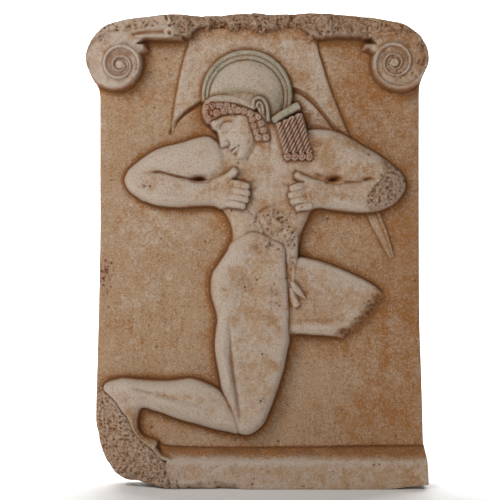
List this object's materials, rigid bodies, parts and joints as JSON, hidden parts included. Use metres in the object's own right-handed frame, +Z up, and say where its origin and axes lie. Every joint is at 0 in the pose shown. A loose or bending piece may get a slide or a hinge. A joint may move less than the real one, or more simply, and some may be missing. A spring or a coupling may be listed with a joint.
{
  "type": "carved stone stele",
  "caption": "Upright relief slab of carved stone: a helmeted kneeling-running figure under a crown with two volutes, on a plinth ledge.",
  "frame": {"origin": "on the ground, under the middle of the block's width and depth", "axes": "+Z up, the carved side faces -Y, +X to the right of somebody looking at the carving"},
  "size_m": [0.7346, 0.135, 1.0202],
  "materials": {
    "stone": "matt, worn, cream on the raised forms and orange-brown in the recesses"
  },
  "bodies": {
    "root": {"stele": "stone"}
  },
  "joints": []
}
